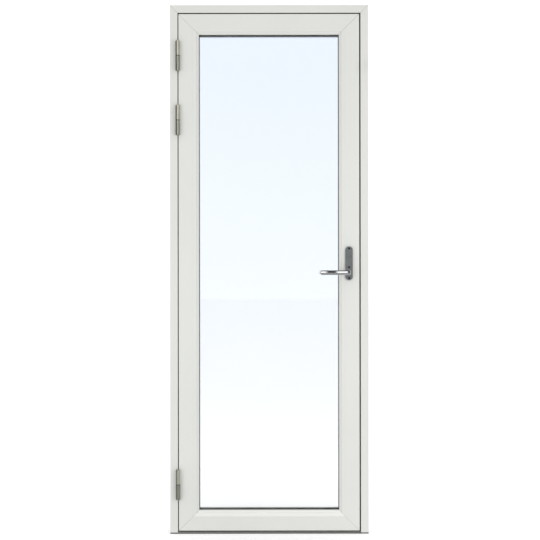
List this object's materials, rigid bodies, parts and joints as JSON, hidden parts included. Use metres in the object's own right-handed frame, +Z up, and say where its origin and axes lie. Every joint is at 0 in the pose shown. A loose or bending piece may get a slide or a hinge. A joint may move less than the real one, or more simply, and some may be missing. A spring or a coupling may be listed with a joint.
{
  "type": "glass door",
  "caption": "Single-leaf glazed door closed in its own timber frame, with a low threshold, lift-off hinges, a bow lever on a long plate and bolts thrown into the jamb.",
  "frame": {"origin": "middle of the underside of the frame, half way across its width and half way through its depth", "axes": "+Z up the door, +Y through the door from the room to the weather side, +X from the hinges to the lock as seen from the room"},
  "size_m": [0.78, 0.1611, 2.08],
  "materials": {
    "lacquer_frame": "white factory lacquer on timber, satin",
    "lacquer_sash": "white factory lacquer on timber, satin",
    "lacquer_bead": "white factory lacquer on timber, satin",
    "raw_timber": "plain hardwood, glued in",
    "sole_composite": "dark grey fibre-filled plastic",
    "tread_aluminium": "grey anodised, satin",
    "clad_white": "white powder coat on aluminium",
    "clip_plastic": "black nylon",
    "seal_rubber": "grey-black EPDM",
    "glazing_rubber": "black EPDM",
    "block_plastic": "packing plastic",
    "spacer_black": "warm-edge spacer, black",
    "edge_sealant": "polysulphide, black",
    "glass_room": "clear float glass",
    "glass_middle": "clear float glass",
    "glass_weather": "clear float glass with a coating on its inner side",
    "hinge_zinc": "yellow-grey zinc plating, satin",
    "pin_steel": "ground steel, greased",
    "washer_nylon": "nylon",
    "screw_steel": "bright zinc plating",
    "keep_steel": "zinc plated pressed steel",
    "sleeve_steel": "zinc plated steel tube",
    "lock_steel": "zinc plated flat steel",
    "bolt_steel": "nickel plated steel",
    "gear_steel": "sintered steel, greased",
    "plate_satin": "satin nickel",
    "lever_chrome": "polished chrome plating"
  },
  "bodies": {
    "frame": {"jamb_hinge": "lacquer_frame", "jamb_lock": "lacquer_frame", "head": "lacquer_frame", "frame_dowels": "raw_timber", "threshold_sole": "sole_composite", "threshold_tread": "tread_aluminium", "foot_screws": "screw_steel", "frame_clad_hinge": "clad_white", "frame_clad_lock": "clad_white", "frame_clad_head": "clad_white", "frame_clips": "clip_plastic", "frame_seal": "seal_rubber", "keep_plates": "keep_steel", "keep_screws": "screw_steel", "fixing_sleeves": "sleeve_steel", "hinge_top_frame": "hinge_zinc", "hinge_mid_frame": "hinge_zinc", "hinge_low_frame": "hinge_zinc", "hinge_pins": "pin_steel", "hinge_washers": "washer_nylon", "leaf_screws_frame": "screw_steel"},
    "sash": {"stile_hinge": "lacquer_sash", "stile_lock": "lacquer_sash", "rail_top": "lacquer_sash", "rail_bottom": "lacquer_sash", "sash_dowels": "raw_timber", "bead_hinge": "lacquer_bead", "bead_lock": "lacquer_bead", "bead_top": "lacquer_bead", "bead_bottom": "lacquer_bead", "pane_room": "glass_room", "pane_middle": "glass_middle", "pane_weather": "glass_weather", "spacers": "spacer_black", "edge_seal": "edge_sealant", "gasket_room": "glazing_rubber", "gasket_weather": "glazing_rubber", "glazing_blocks": "block_plastic", "sash_clad_hinge": "clad_white", "sash_clad_lock": "clad_white", "sash_clad_top": "clad_white", "sash_clad_bottom": "clad_white", "sash_clips": "clip_plastic", "hinge_top_sash": "hinge_zinc", "hinge_mid_sash": "hinge_zinc", "hinge_low_sash": "hinge_zinc", "leaf_screws_sash": "screw_steel", "faceplate": "lock_steel", "faceplate_screws": "screw_steel", "gear_case": "lock_steel", "bolt_cases": "lock_steel", "handle_plate": "plate_satin", "handle_screws": "screw_steel"},
    "handle": {"lever": "lever_chrome", "spindle": "gear_steel", "pinion": "gear_steel"},
    "drive": {"drive_rod": "lock_steel"},
    "bolt_a": {"bolt_upper": "bolt_steel"},
    "bolt_b": {"bolt_middle": "bolt_steel"},
    "bolt_c": {"bolt_lower": "bolt_steel"}
  },
  "joints": [
    {"name": "door_swing", "type": "hinge", "parent": "frame", "child": "sash", "pos_m": [-0.35825, -0.062, 1.04], "axis": [0, 0, -1], "range_deg": [0, 100]},
    {"name": "handle_turn", "type": "hinge", "parent": "sash", "child": "handle", "pos_m": [0.314, -0.0525, 1.027], "axis": [0, -1, 0], "range_deg": [0, 90]},
    {"name": "drive_slide", "type": "slide", "parent": "sash", "child": "drive", "axis": [0, 0, 1], "range_m": [0, 0.01415]},
    {"name": "bolt_slide_upper", "type": "slide", "parent": "sash", "child": "bolt_a", "axis": [1, 0, 0], "range_m": [0, 0.01415]},
    {"name": "bolt_slide_middle", "type": "slide", "parent": "sash", "child": "bolt_b", "axis": [1, 0, 0], "range_m": [0, 0.01415]},
    {"name": "bolt_slide_lower", "type": "slide", "parent": "sash", "child": "bolt_c", "axis": [1, 0, 0], "range_m": [0, 0.01415]}
  ],
  "couplings": [
    {"joint": "drive_slide", "follows": "handle_turn", "m_per_rad": 0.009},
    {"joint": "bolt_slide_upper", "follows": "handle_turn", "m_per_rad": 0.009},
    {"joint": "bolt_slide_middle", "follows": "handle_turn", "m_per_rad": 0.009},
    {"joint": "bolt_slide_lower", "follows": "handle_turn", "m_per_rad": 0.009}
  ]
}
